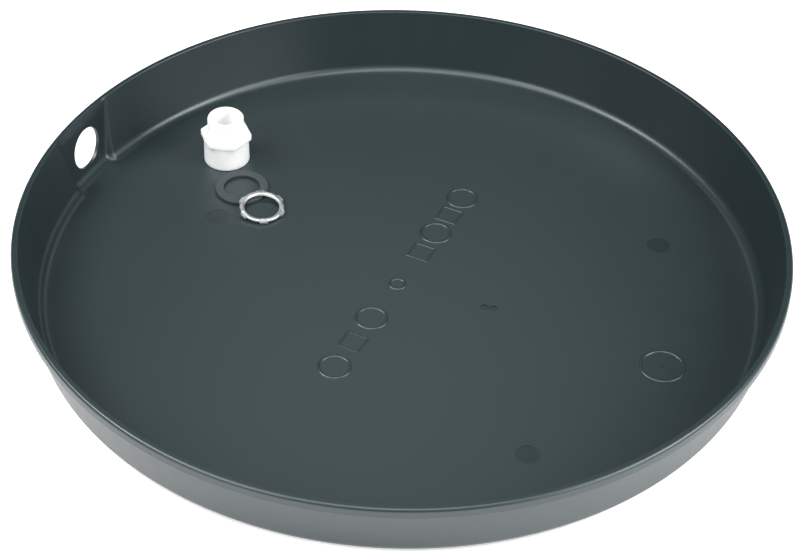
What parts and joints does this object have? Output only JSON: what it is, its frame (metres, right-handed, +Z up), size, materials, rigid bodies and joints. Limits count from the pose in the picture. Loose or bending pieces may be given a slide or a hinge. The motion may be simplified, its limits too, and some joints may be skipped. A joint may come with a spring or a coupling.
{
  "type": "water heater drain pan with drain fitting",
  "caption": "Round shallow plastic pan with a rolled rim and a flat drain pad, with a loose plastic drain fitting, rubber gasket and metal locknut lying inside.",
  "frame": {"origin": "centre of the pan's flat underside", "axes": "+Z up out of the pan, -X through the middle of the drain pad and its hole"},
  "size_m": [0.6604, 0.6604, 0.0635],
  "materials": {
    "pan_plastic": "satin moulded plastic, dark charcoal",
    "white_pvc": "white rigid PVC",
    "gasket_rubber": "matt grey-black rubber",
    "zinc_plate": "bright zinc plate"
  },
  "bodies": {
    "pan": {"pan": "pan_plastic"},
    "drain_adapter": {"drain_adapter": "white_pvc"},
    "gasket": {"gasket": "gasket_rubber"},
    "locknut": {"locknut": "zinc_plate"}
  },
  "joints": [
    {"name": "adapter_lift", "type": "slide", "parent": "pan", "child": "drain_adapter", "axis": [0, 0, 1], "range_m": [0, 0.1]},
    {"name": "gasket_lift", "type": "slide", "parent": "pan", "child": "gasket", "axis": [0, 0, 1], "range_m": [0, 0.1]},
    {"name": "locknut_lift", "type": "slide", "parent": "gasket", "child": "locknut", "axis": [0, 0, 1], "range_m": [0, 0.1]}
  ]
}
